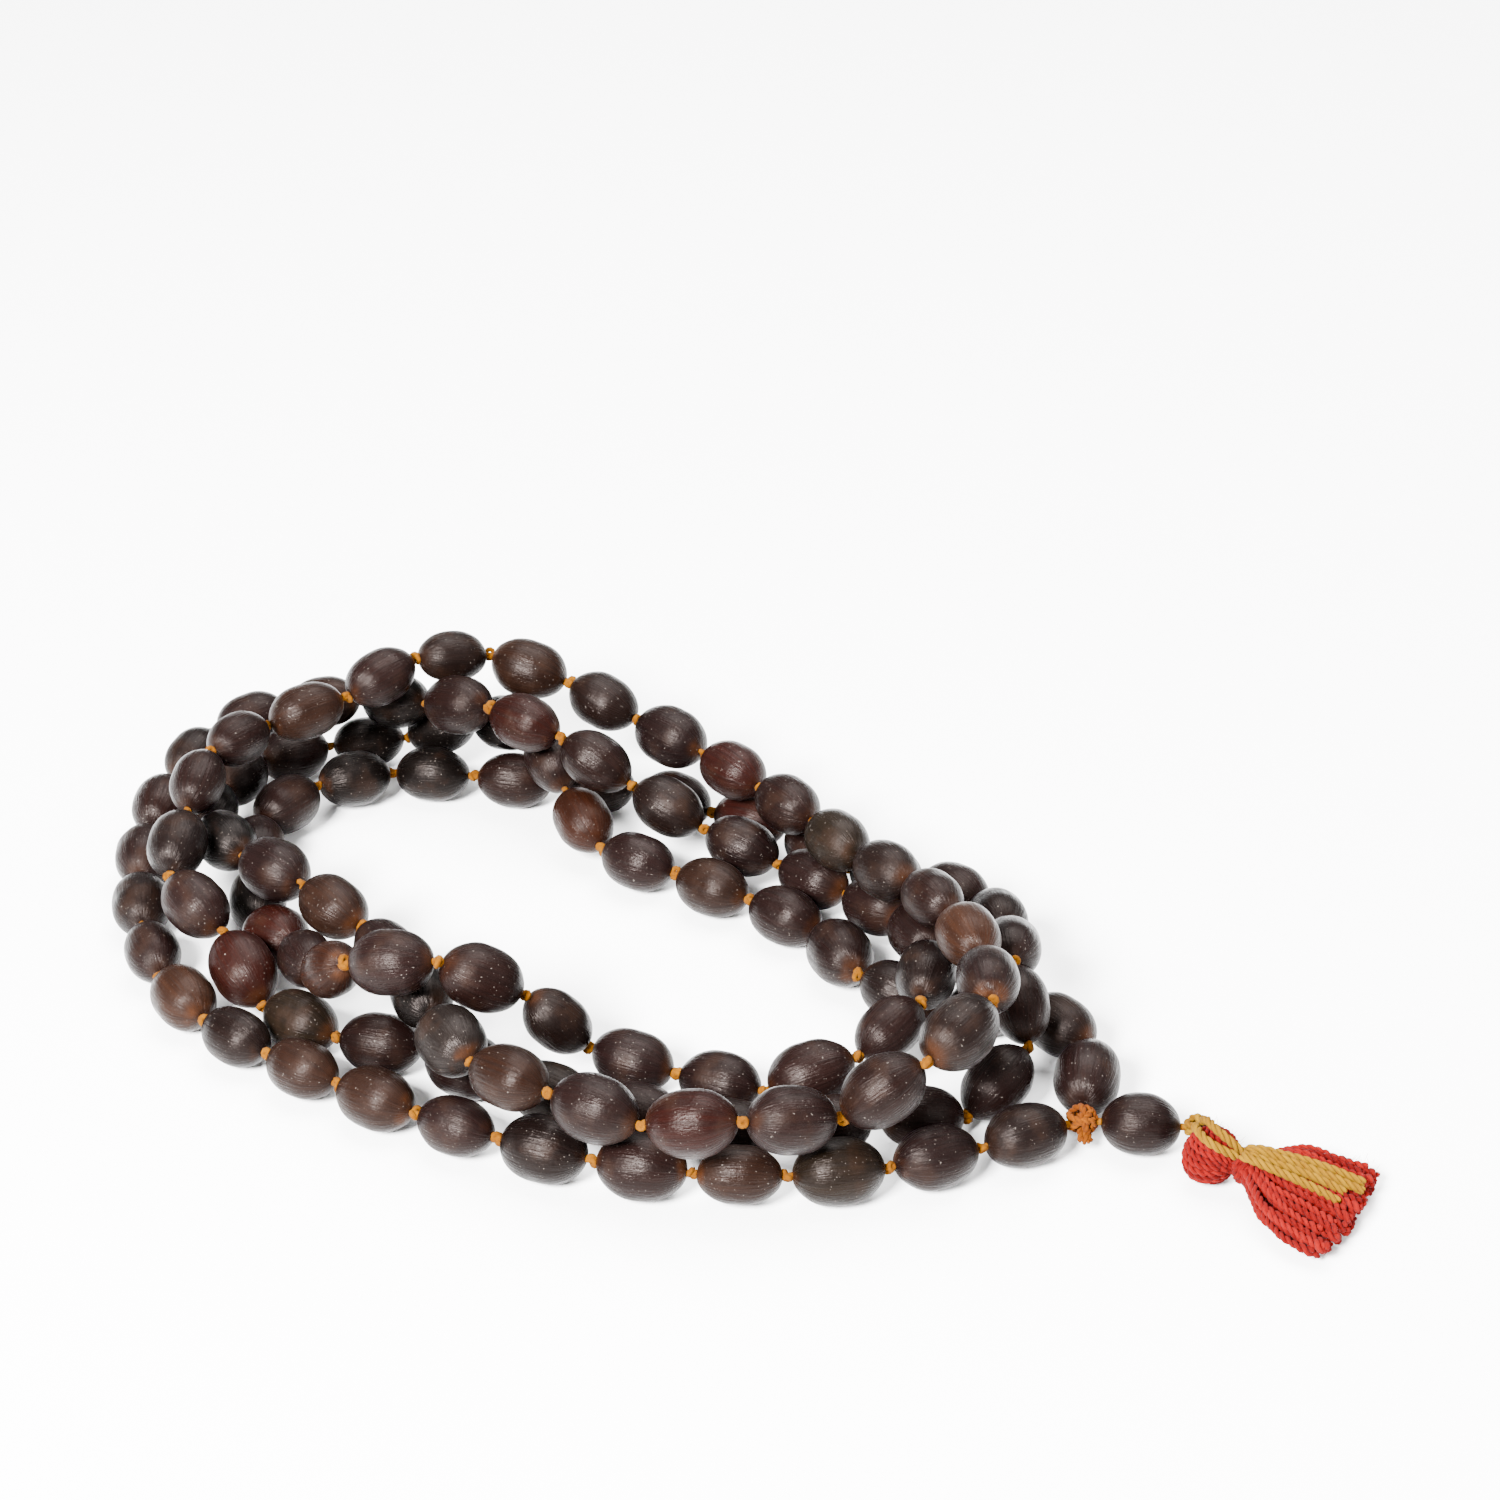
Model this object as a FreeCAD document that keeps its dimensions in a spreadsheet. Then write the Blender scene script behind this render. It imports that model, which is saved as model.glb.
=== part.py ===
import FreeCAD, Part
import math
import os

from FreeCAD import Placement, Rotation, Vector

# Mala of one hundred and eight lotus seeds and one guru seed, lying coiled on a table in four passes.
# Origin: middle of the whole object's footprint, on the table. +Z up, +X towards the tassel's side.

DIMENSIONS = [
    ("seed_length", 13.7),
    ("seed_length_step", 0.6),
    ("seed_diameter", 9.9),
    ("seed_diameter_step", 0.7),
    ("bore_diameter", 1.7),
    ("cord_diameter", 1.1),
    ("knot_gap", 1.3),
    ("knot_length", 1.6),
    ("knot_diameter", 2.3),
    ("knot_end_diameter", 1.35),
    ("junction_diameter", 3.8),
    ("guru_length", 12.4),
    ("guru_diameter", 9.8),
    ("tassel_knot_diameter", 2.8),
    ("running_gap", 0.3),
    ("head_length", 9.0),
    ("head_diameter", 9.6),
    ("neck_diameter", 4.4),
    ("neck_length", 2.8),
    ("binding_diameter", 6.0),
    ("binding_length", 2.0),
    ("skirt_length", 15.5),
    ("skirt_width", 23.0),
    ("skirt_height", 4.6),
    ("skirt_crown_width", 16.2),
    ("skirt_crown_height", 6.2),
]
SIZE = dict(DIMENSIONS)

SEED_COUNT = 108
LARGE_SEEDS = {3, 5, 6, 20, 30, 34, 35, 38, 60, 63, 71, 73, 81, 82, 83, 84, 85, 87, 91, 104, 108}
SMALL_SEEDS = {4, 7, 9, 10, 12, 16, 17, 18, 29, 33, 36, 37, 53, 66, 67, 70, 78, 89, 93, 96, 99, 106}

# Seeds that turn on the cord in nodes of their own: the front row and the pass that lies on top.
SPINNING_SEEDS = list(range(1, 15)) + list(range(64, 90))
SEED_GROUPS = {
    "seeds_back_pass": range(15, 31),
    "seeds_inner_pass": range(31, 48),
    "seeds_lower_pass": range(48, 64),
    "seeds_closing_pass": range(90, 109),
}

JUNCTION = Vector(58, -45, 5)
GURU_HEADING = math.radians(-6)
TASSEL_HEADING = math.radians(-30)
# The tassel's head hangs to the near side of its knot.
HEAD_PLACE = Vector(1.4, -6.6, 0)

# Route of the cord, one point for every two seeds, from the junction knot round to it again.
FRONT_ROW = [(28, -61, 5), (-2, -63, 5), (-32, -53, 5), (-60, -36, 5), (-84, -17, 5), (-97, 9, 5),
             (-99, 39, 5)]
BACK_PASS = [(-90, 68, 9), (-64, 70, 13), (-37, 52, 21), (-12, 38, 12), (12, 24, 6), (32, 2, 8),
             (33, -27, 13)]
INNER_PASS = [(9, -37, 5), (-19, -27, 6), (-42, -30, 22), (-63, -16, 13), (-74, 9, 5), (-78, 38, 7)]
LOWER_PASS = [(-57, 56, 5), (-27, 55, 5), (1, 44, 5), (25, 27, 5), (44, 7, 10), (49, -21, 15), (40, -41, 5)]
LOWER_FRONT = [(12, -48, 5), (-17, -41, 5), (-45, -28, 5), (-71, -15, 6)]
TOP_PASS = [(-87, 8, 15), (-84, 36, 21), (-65, 55, 21), (-40, 68, 22), (-13, 57, 16), (9, 36, 15)]
TOP_RETURN = [(26, 10, 17), (39, -15, 22), (41, -43, 25), (20, -58, 18), (-8, -59, 16), (-34, -44, 16)]
CLOSING_PASS = [(-48, -15, 13), (-66, 5, 14), (-85, 27, 11), (-81, 58, 7), (-56, 69, 6), (-33, 53, 13)]
CLOSING_END = [(-18, 31, 6), (8, 16, 5), (30, -5, 5), (50, -20, 5)]
ROUTE = (FRONT_ROW + BACK_PASS + INNER_PASS + LOWER_PASS + LOWER_FRONT + TOP_PASS + TOP_RETURN
         + CLOSING_PASS + CLOSING_END)

# How the strand settles: rounds, the pull back to the route, and how seeds are kept apart.
SETTLE_ROUNDS = 450
PITCH_ROUNDS = 6
PLAN_PULL = 0.04
PULL_FADE = 1.4
SHARPEST_FOLD = math.radians(24)
SEED_CLEARANCE = 0.4
PUSH_SHARE = 0.75
HALF_SEED_SHARE = 0.46
CONTACT_STATIONS = (-0.38, -0.2, 0.0, 0.2, 0.38)

# Each knot of the strand is a faceted spindle: the name of a ring, the alias of its width, and how far
# along the knot's length it stands from the middle.
KNOT_SIDES = 8
KNOT_RINGS = (
    ("knot_foot", "knot_end_diameter", -0.5),
    ("knot_waist", "knot_diameter", 0),
    ("knot_top", "knot_end_diameter", 0.5),
)

# Weights of the near and far points at the middle of a smooth curve's span.
NEAR_WEIGHT = 9 / 16
FAR_WEIGHT = 1 / 16

# Share of a straight run that its bend may use: at a knot between seeds, and on a free cord.
KNOT_BEND_SHARE = 0.46
FREE_BEND_SHARE = 0.45

# The tassel lies just clear of the table, and its parts overlap a little where they are sewn together.
TASSEL_REST = 0.1
SEWN_OVERLAP = 0.1
LINK_DEPTH = 0.5
BINDING_OFFSET = 0.4
TAIL_OFFSET = 1.2

# The two cords over the head: half the space between them, and places along, across and above its middle.
HEAD_CORD_SPREAD = 0.68
HEAD_CORD_STATIONS = ((-2.8, 3.0, 2.8), (-1.5, 1.4, 4.6), (0.4, 0.4, 5.3), (2.8, 0.2, 4.4))

# Each yellow tail: how far to one side it lies, and its reach as a share of the skirt's length.
TAILS = ((5.6, 1.0), (3.4, 0.97), (1.4, 0.9), (-0.9, 0.86))
TAIL_PITCH = 1.2
# Places along a tail: share of the skirt's length, share of its spread, share of its root and its height.
TAIL_STATIONS = ((0.11, 0.12, 1.0, 7.8), (0.33, 0.45, 0.4, 7.7), (0.66, 0.8, 0.0, 7.1))
TAIL_END_SPREAD = 1.25
TAIL_END_HEIGHT = 6.0


def seed_grade(number):
    """Return 1 for a large seed, -1 for a small one and 0 for the rest."""
    return (number in LARGE_SEEDS) - (number in SMALL_SEEDS)


def half_length(number):
    return (SIZE["seed_length"] + seed_grade(number) * SIZE["seed_length_step"]) / 2


def seed_radius(number):
    return (SIZE["seed_diameter"] + seed_grade(number) * SIZE["seed_diameter_step"]) / 2


def along(start, direction, distance):
    """Return the point at a distance from start towards direction."""
    return start + Vector(direction).normalize() * distance


def planned_knots():
    """Return one knot for every seed end, with the knots between route points on a smooth curve."""
    points = [JUNCTION] + [Vector(*point) for point in ROUTE] + [JUNCTION]
    knots = []
    for index in range(len(points) - 1):
        before = points[max(index - 1, 0)]
        after = points[min(index + 2, len(points) - 1)]
        here, there = points[index], points[index + 1]
        knots += [here, (here + there) * NEAR_WEIGHT - (before + after) * FAR_WEIGHT]
    return knots + [points[-1]]


def hold_ends(knots):
    """Put both ends of the cord on the junction knot."""
    reach = SIZE["junction_diameter"] / 2 + SIZE["running_gap"]
    knots[0] = along(JUNCTION, knots[1] - JUNCTION, reach)
    knots[-1] = along(JUNCTION, knots[-2] - JUNCTION, reach)


def keep_pitch(knots, pitches):
    """Bring each pair of knots to the seed's own pitch."""
    for index, pitch in enumerate(pitches):
        span = knots[index + 1] - knots[index]
        shift = span * ((span.Length - pitch) / (2 * span.Length))
        knots[index] += shift
        knots[index + 1] -= shift


def limit_folds(knots, pitches):
    """Open each fold that is sharper than two seeds can make against their knot."""
    for index in range(len(pitches) - 1):
        span = knots[index + 2] - knots[index]
        least = (pitches[index] + pitches[index + 1]) * math.cos(SHARPEST_FOLD)
        if span.Length < least:
            shift = span * ((least - span.Length) / (2 * span.Length))
            knots[index] -= shift
            knots[index + 2] += shift


def contact_balls(number):
    """Return the balls, as a share of half the length and a radius, that fill a seed."""
    half, radius = half_length(number), seed_radius(number)
    return [(share, radius * math.sqrt(1 - (share * half) ** 2 / (half ** 2 - radius ** 2)))
            for share in CONTACT_STATIONS]


def part_seeds(knots, balls):
    """Push apart the seeds of different passes that lie too close."""
    count = len(balls)
    middles = [(knots[i] + knots[i + 1]) * 0.5 for i in range(count)]
    reach = SIZE["seed_length"] + SIZE["knot_gap"]
    for first in range(count):
        for second in range(first + 2, count):
            if middles[first].distanceToPoint(middles[second]) > reach:
                continue
            closest = None
            for share_a, radius_a in balls[first]:
                point_a = middles[first] + (knots[first + 1] - knots[first]) * (share_a * HALF_SEED_SHARE)
                for share_b, radius_b in balls[second]:
                    run = knots[second + 1] - knots[second]
                    point_b = middles[second] + run * (share_b * HALF_SEED_SHARE)
                    gap = point_a.distanceToPoint(point_b) - radius_a - radius_b
                    if closest is None or gap < closest[0]:
                        closest = (gap, point_a - point_b, share_a, share_b)
            gap, away, share_a, share_b = closest
            if gap < SEED_CLEARANCE:
                push = away.normalize() * ((SEED_CLEARANCE - gap) * PUSH_SHARE)
                for index, share, sign in ((first, share_a, 1), (second, share_b, -1)):
                    knots[index] += push * (sign * (1 - share) / 2)
                    knots[index + 1] += push * (sign * (1 + share) / 2)


def seed_low_point(knots, number):
    """Return the height of the lowest point of a seed."""
    start, end = knots[number - 1], knots[number]
    slope = (end.z - start.z) / start.distanceToPoint(end)
    half, radius = half_length(number), seed_radius(number)
    return (start.z + end.z) / 2 - math.sqrt((half * slope) ** 2 + radius ** 2 * (1 - slope ** 2))


def lift_from_table(knots):
    """Lift each seed that would reach into the table."""
    for number in range(1, SEED_COUNT + 1):
        low = seed_low_point(knots, number)
        if low < 0:
            knots[number - 1].z -= low
            knots[number].z -= low


def settled_knots():
    """Return the knots of the whole strand once its seeds have settled beside each other."""
    pitches = [2 * half_length(number) + SIZE["knot_gap"] for number in range(1, SEED_COUNT + 1)]
    balls = [contact_balls(number) for number in range(1, SEED_COUNT + 1)]
    plan = planned_knots()
    knots = [Vector(knot) for knot in plan]
    for step in range(SETTLE_ROUNDS):
        pull = PLAN_PULL * max(0, 1 - PULL_FADE * step / SETTLE_ROUNDS)
        knots = [knot + (target - knot) * pull for knot, target in zip(knots, plan)]
        for repeat in range(PITCH_ROUNDS):
            keep_pitch(knots, pitches)
        limit_folds(knots, pitches)
        part_seeds(knots, balls)
        lift_from_table(knots)
        hold_ends(knots)
    return knots


def turn_to(direction):
    """Return the rotation that takes +Z to a direction."""
    return Rotation(Vector(0, 0, 1), Vector(direction))


def bound(feature, sizes):
    """Bind a feature's sizes to the sheet's cells."""
    for name, formula in sizes.items():
        feature.setExpression(name, formula)
    return feature


def ellipsoid(doc, name, length, diameter):
    """Make an ellipsoid of revolution about Z."""
    shape = doc.addObject("Part::Ellipsoid", name)
    shape.Angle1 = -90
    shape.Angle2 = 90
    return bound(shape, {"Radius1": f"({length}) / 2", "Radius2": f"({diameter}) / 2",
                         "Radius3": f"({diameter}) / 2"})


def bored_seed(doc, name, length, diameter):
    """Make a seed: an ellipsoid with the cord's hole bored from end to end."""
    flesh = ellipsoid(doc, name + "_flesh", length, diameter)
    hole = bound(doc.addObject("Part::Cylinder", name + "_hole"),
                 {"Radius": "dims.bore_diameter / 2", "Height": length})
    hole.setExpression("Placement.Base.z", f"-({length}) / 2")
    seed = doc.addObject("Part::Cut", name)
    seed.Base = flesh
    seed.Tool = hole
    return seed


def strung_seed(doc, number, knots):
    """Make one seed of the strand between its two knots."""
    start, end = knots[number - 1], knots[number]
    grade = seed_grade(number)
    seed = bored_seed(doc, f"seed_{number:03d}", f"dims.seed_length + {grade} * dims.seed_length_step",
                      f"dims.seed_diameter + {grade} * dims.seed_diameter_step")
    seed.Placement = Placement((start + end) * 0.5, turn_to(end - start))
    return seed


def group(doc, name, members):
    """Join separate solids in one node."""
    compound = doc.addObject("Part::Compound", name)
    compound.Links = members
    return compound


def rounded_path(points, tangent_lengths):
    """Return a wire of straight runs through the points with a tangent arc at each inner point."""
    edges = []
    radii = []
    here = points[0]
    for index in range(1, len(points) - 1):
        corner = points[index]
        back = Vector(points[index - 1] - corner).normalize()
        onward = Vector(points[index + 1] - corner).normalize()
        half_turn = (math.pi - back.getAngle(onward)) / 2
        tangent = tangent_lengths[index - 1]
        radius = tangent / math.tan(half_turn)
        start, end = corner + back * tangent, corner + onward * tangent
        middle = along(corner, back + onward, radius / math.cos(half_turn) - radius)
        edges += [Part.LineSegment(here, start).toShape(), Part.Arc(start, middle, end).toShape()]
        radii.append(radius)
        here = end
    edges.append(Part.LineSegment(here, points[-1]).toShape())
    return Part.Wire(edges), radii


def smooth_path(points):
    """Return a wire whose arcs are as large as their two runs allow."""
    tangents = []
    for before, point, after in zip(points, points[1:], points[2:]):
        run = min(point.distanceToPoint(before), point.distanceToPoint(after))
        tangents.append(FREE_BEND_SHARE * run)
    return rounded_path(points, tangents)


def tube(doc, name, wire, radii, diameter_alias):
    """Sweep a round section along a wire and compare its volume with section times length."""
    path = doc.addObject("Part::Feature", name + "_path")
    path.Shape = wire
    section = bound(doc.addObject("Part::Circle", name + "_section"),
                    {"Radius": f"dims.{diameter_alias} / 2"})
    section.Placement = Placement(wire.Edges[0].Vertexes[0].Point, turn_to(wire.Edges[0].tangentAt(0)))
    sweep = doc.addObject("Part::Sweep", name)
    sweep.Sections = [section]
    sweep.Spine = (path, [f"Edge{number}" for number in range(1, len(wire.Edges) + 1)])
    sweep.Solid = True
    doc.recompute()
    expected = math.pi * (SIZE[diameter_alias] / 2) ** 2 * wire.Length
    bends = f"radii {min(radii):.1f} to {max(radii):.1f} mm" if radii else "straight"
    print(f"{name}: length {wire.Length:.1f} mm, {bends}, "
          f"volume {sweep.Shape.Volume:.1f} of {expected:.1f} mm3")
    return sweep


def knot_pattern(doc):
    """Make the faceted solid of one knot about Z, wide in its middle and narrow at its ends."""
    sections = []
    for name, diameter, share in KNOT_RINGS:
        ring = doc.addObject("Part::RegularPolygon", name)
        ring.Polygon = KNOT_SIDES
        ring.setExpression("Circumradius", f"dims.{diameter} / 2")
        ring.setExpression("Placement.Base.z", f"dims.knot_length * ({share})")
        sections.append(ring)
    pattern = doc.addObject("Part::Loft", "knot_pattern")
    pattern.Sections = sections
    pattern.Solid = True
    pattern.Ruled = True
    doc.recompute()
    return pattern


def make_strand(doc, knots):
    """Make the stringing cord, the knots between the seeds and the seeds."""
    slack = [SIZE["knot_gap"] * KNOT_BEND_SHARE] * (len(knots) - 2)
    wire, radii = rounded_path(knots, slack)
    cord = tube(doc, "stringing_cord", wire, radii, "cord_diameter")
    pattern = knot_pattern(doc)
    knot_solids = []
    for index in range(1, SEED_COUNT):
        knot = doc.addObject("Part::Feature", f"knot_{index:03d}")
        knot.Shape = pattern.Shape
        knot.Placement = Placement(knots[index], turn_to(knots[index + 1] - knots[index - 1]))
        knot_solids.append(knot)
    nodes = [cord, group(doc, "spacer_knots", knot_solids)]
    nodes += [strung_seed(doc, number, knots) for number in SPINNING_SEEDS]
    for name, numbers in SEED_GROUPS.items():
        nodes.append(group(doc, name, [strung_seed(doc, number, knots) for number in numbers]))
    return nodes


def heading(angle):
    """Return the level unit direction at an angle from +X."""
    return Vector(math.cos(angle), math.sin(angle), 0)


def make_pendant(doc):
    """Make the junction knot, the guru seed on its cord and the knot that ends it."""
    onward = heading(GURU_HEADING)
    junction_reach = SIZE["junction_diameter"] / 2 + SIZE["running_gap"]
    knot_reach = SIZE["tassel_knot_diameter"] / 2 + SIZE["running_gap"]
    cord_length = SIZE["guru_length"] + SIZE["knot_gap"]
    junction = bound(doc.addObject("Part::Sphere", "junction_knot"),
                     {"Radius": "dims.junction_diameter / 2"})
    junction.Placement = Placement(JUNCTION, turn_to(onward))
    start = along(JUNCTION, onward, junction_reach)
    cord = bound(doc.addObject("Part::Cylinder", "guru_cord"),
                 {"Radius": "dims.cord_diameter / 2", "Height": "dims.guru_length + dims.knot_gap"})
    cord.Placement = Placement(start, turn_to(onward))
    guru = bored_seed(doc, "guru_seed", "dims.guru_length", "dims.guru_diameter")
    guru.Placement = Placement(along(start, onward, cord_length / 2), turn_to(onward))
    tassel_start = along(start, onward, cord_length + knot_reach)
    knot = bound(doc.addObject("Part::Sphere", "tassel_knot"), {"Radius": "dims.tassel_knot_diameter / 2"})
    knot.Placement = Placement(tassel_start, turn_to(onward))
    return [junction, cord, guru, knot], tassel_start


def skirt_section(doc, name, distance, height, width, thickness):
    """Make one oval section of the skirt, square to the tassel's length."""
    section = doc.addObject("Part::Ellipse", name)
    bound(section, {"MajorRadius": f"{width} / 2", "MinorRadius": f"{thickness} / 2"})
    section.Placement = Placement(Vector(distance, 0, height), Rotation(Vector(0, 1, 0), 90)
                                  * Rotation(Vector(0, 0, 1), 90))
    return section


def make_skirt(doc, neck_start, skirt_start, skirt_end, head_height):
    """Make the skirt as one closed solid: a round neck that opens to a flat fan."""
    middle = (skirt_start + skirt_end) / 2
    crown_height = TASSEL_REST + SIZE["skirt_crown_height"] / 2
    hem_height = TASSEL_REST + SIZE["skirt_height"] / 2
    skirt = doc.addObject("Part::Loft", "tassel_skirt")
    skirt.Sections = [
        skirt_section(doc, "skirt_neck", neck_start, head_height, "dims.neck_diameter",
                      "dims.neck_diameter"),
        skirt_section(doc, "skirt_top", skirt_start, head_height, "dims.neck_diameter",
                      "dims.neck_diameter"),
        skirt_section(doc, "skirt_crown", middle, crown_height, "dims.skirt_crown_width",
                      "dims.skirt_crown_height"),
        skirt_section(doc, "skirt_hem", skirt_end, hem_height, "dims.skirt_width", "dims.skirt_height"),
    ]
    skirt.Solid = True
    skirt.Ruled = True
    return skirt


def make_binding(doc, lay, start, height):
    """Make the ring of red yarn that is wound round the neck."""
    ring = bound(doc.addObject("Part::Cylinder", "binding_ring"),
                 {"Radius": "dims.binding_diameter / 2", "Height": "dims.binding_length"})
    hollow = bound(doc.addObject("Part::Cylinder", "binding_hollow"),
                   {"Radius": "dims.neck_diameter / 2", "Height": "dims.binding_length"})
    binding = doc.addObject("Part::Cut", "tassel_binding")
    binding.Base = ring
    binding.Tool = hollow
    binding.Placement = lay * Placement(Vector(start, 0, height), turn_to(Vector(1, 0, 0)))
    return binding


def laid_cord(doc, name, points, lay):
    """Make a smooth free cord through points given along the tassel."""
    wire, radii = smooth_path(points)
    wire.Placement = lay
    return tube(doc, name, wire, radii, "cord_diameter")


def make_head_cords(doc, lay, neck_start, head_height, tie_height):
    """Make the two yellow cords that pass over the head to the binding."""
    cords = []
    for number, side in enumerate((-1, 1), start=1):
        spread = side * HEAD_CORD_SPREAD
        points = [Vector(distance, across + spread, head_height + rise)
                  for distance, across, rise in HEAD_CORD_STATIONS]
        points.append(Vector(neck_start + BINDING_OFFSET, spread, tie_height + SEWN_OVERLAP))
        cords.append(laid_cord(doc, f"head_cord_{number}", points, lay))
    return group(doc, "head_cords", cords)


def make_tails(doc, lay, neck_start, skirt_start, tie_height):
    """Make the yellow cord ends that lie on the skirt."""
    middle_number = (len(TAILS) + 1) / 2
    tails = []
    for number, (spread, reach) in enumerate(TAILS, start=1):
        root = (middle_number - number) * TAIL_PITCH
        points = [Vector(neck_start + TAIL_OFFSET, root, tie_height + SEWN_OVERLAP)]
        for share, spread_share, root_share, height in TAIL_STATIONS:
            points.append(Vector(skirt_start + SIZE["skirt_length"] * share,
                                 spread * spread_share + root * root_share, height))
        points.append(Vector(skirt_start + SIZE["skirt_length"] * reach, spread * TAIL_END_SPREAD,
                             TAIL_END_HEIGHT))
        tails.append(laid_cord(doc, f"tail_{number}", points, lay))
    return group(doc, "tassel_tails", tails)


def make_tassel(doc, pivot):
    """Make the tassel along +X from the middle of its head, then lay it in its heading."""
    middle = Vector(pivot.x, pivot.y, 0) + HEAD_PLACE
    lay = Placement(middle, Rotation(Vector(0, 0, 1), math.degrees(TASSEL_HEADING)))
    head_height = SIZE["head_diameter"] / 2 + TASSEL_REST
    neck_start = SIZE["head_length"] / 2 - SEWN_OVERLAP
    skirt_start = neck_start + SIZE["neck_length"]
    skirt_end = skirt_start + SIZE["skirt_length"]
    tie_height = head_height + SIZE["binding_diameter"] / 2 + SIZE["cord_diameter"] / 2

    head = ellipsoid(doc, "tassel_head", "dims.head_length", "dims.head_diameter")
    head.Placement = lay * Placement(Vector(0, 0, head_height), turn_to(Vector(1, 0, 0)))
    skirt = make_skirt(doc, neck_start, skirt_start, skirt_end, head_height)
    skirt.Placement = lay
    binding = make_binding(doc, lay, neck_start + BINDING_OFFSET, head_height)
    head_cords = make_head_cords(doc, lay, neck_start, head_height, tie_height)
    tails = make_tails(doc, lay, neck_start, skirt_start, tie_height)

    knot_reach = SIZE["tassel_knot_diameter"] / 2 + SIZE["running_gap"]
    link_start = along(pivot, HEAD_PLACE, knot_reach)
    link_end = along(pivot, HEAD_PLACE, HEAD_PLACE.Length - SIZE["head_diameter"] / 2 + LINK_DEPTH)
    link = laid_cord(doc, "tassel_link", [link_start, link_end], Placement())
    return [head, skirt, binding, link, head_cords, tails]


def export(doc, nodes):
    """Check every object, then write one file for each node."""
    doc.recompute()
    for item in doc.Objects:
        if "Invalid" in item.State or "Error" in item.State:
            raise RuntimeError(f"{item.Name} did not recompute: {item.State}")
    for node in nodes:
        if node.Shape.isNull() or not node.Shape.isValid():
            raise RuntimeError(f"{node.Label} has no valid shape")
    os.makedirs("parts", exist_ok=True)
    for node in nodes:
        node.Shape.exportStep(f"parts/{node.Label}.step")
    box = FreeCAD.BoundBox()
    for node in nodes:
        box.add(node.Shape.BoundBox)
    print(f"{len(nodes)} nodes, box {box.XMin:.1f} {box.XMax:.1f} {box.YMin:.1f} {box.YMax:.1f} "
          f"{box.ZMin:.2f} {box.ZMax:.1f}")


def main():
    doc = FreeCAD.newDocument("mala")
    sheet = doc.addObject("Spreadsheet::Sheet", "dims")
    for row, (name, value) in enumerate(DIMENSIONS, start=1):
        sheet.set(f"A{row}", str(value))
        sheet.setAlias(f"A{row}", name)
    doc.recompute()
    knots = settled_knots()
    strand = make_strand(doc, knots)
    pendant, tassel_start = make_pendant(doc)
    tassel = make_tassel(doc, tassel_start)
    export(doc, strand + pendant + tassel)
    print(f"junction knot at {tuple(JUNCTION)}, tassel knot at {tuple(tassel_start)}")


main()
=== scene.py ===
"""A mala of lotus seeds on a knotted cord, coiled on a pale table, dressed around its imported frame."""

import logging
import math
import random
from dataclasses import dataclass, field
from enum import Enum

import bmesh
import bpy
import numpy as np
from mathutils import Matrix, Vector


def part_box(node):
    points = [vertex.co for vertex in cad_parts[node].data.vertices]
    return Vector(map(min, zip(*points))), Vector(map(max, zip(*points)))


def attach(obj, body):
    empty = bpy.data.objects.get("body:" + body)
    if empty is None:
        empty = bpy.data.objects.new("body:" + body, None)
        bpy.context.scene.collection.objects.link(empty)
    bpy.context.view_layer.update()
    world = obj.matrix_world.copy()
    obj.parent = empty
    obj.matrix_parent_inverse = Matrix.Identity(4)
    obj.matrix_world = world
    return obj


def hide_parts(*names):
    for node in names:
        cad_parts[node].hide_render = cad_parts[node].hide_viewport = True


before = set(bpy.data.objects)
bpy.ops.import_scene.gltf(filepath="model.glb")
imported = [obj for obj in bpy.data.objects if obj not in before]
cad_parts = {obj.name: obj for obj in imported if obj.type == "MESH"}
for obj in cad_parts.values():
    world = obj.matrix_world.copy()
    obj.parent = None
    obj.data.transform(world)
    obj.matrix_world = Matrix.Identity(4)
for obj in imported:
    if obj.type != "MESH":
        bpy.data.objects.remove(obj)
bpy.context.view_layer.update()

LOG = logging.getLogger("mala")
MM = 0.001
Colour = tuple[float, float, float]
Point = tuple[float, float, float]


# ---------------------------------------------------------------------------------------------- bench

def clear_selection() -> None:
    """Leave nothing selected and nothing active."""
    for item in bpy.context.selected_objects:
        item.select_set(False)
    bpy.context.view_layer.objects.active = None


def make_active(piece: bpy.types.Object) -> None:
    """Select one piece alone and make it the active one."""
    clear_selection()
    piece.select_set(True)
    bpy.context.view_layer.objects.active = piece


def select_end_faces(piece: bpy.types.Object, height: float) -> None:
    """Select, in edit mode, the faces whose middles lie beyond a height.

    Args:
        piece: the piece that is being edited.
        height: the height in metres; a negative one selects the faces below it.
    """
    bpy.ops.mesh.select_all(action="DESELECT")
    mesh = bmesh.from_edit_mesh(piece.data)
    for face in mesh.faces:
        middle = face.calc_center_median().z
        face.select_set(middle > height if height > 0 else middle < height)
    bmesh.update_edit_mesh(piece.data)


def joined_copies(name: str, pattern: bpy.types.Mesh, places: list[Matrix]) -> bpy.types.Object:
    """Make one piece of several placed copies of a mesh.

    Args:
        name: the piece's name.
        pattern: the mesh to copy.
        places: one matrix for each copy.

    Returns:
        The piece, with its object at the origin.
    """
    mesh = bmesh.new()
    for place in places:
        first = len(mesh.verts)
        mesh.from_mesh(pattern)
        mesh.verts.ensure_lookup_table()
        bmesh.ops.transform(mesh, matrix=place, verts=mesh.verts[first:])
    data = bpy.data.meshes.new(name)
    mesh.to_mesh(data)
    mesh.free()
    piece = bpy.data.objects.new(name, data)
    bpy.context.scene.collection.objects.link(piece)
    return piece


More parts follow.
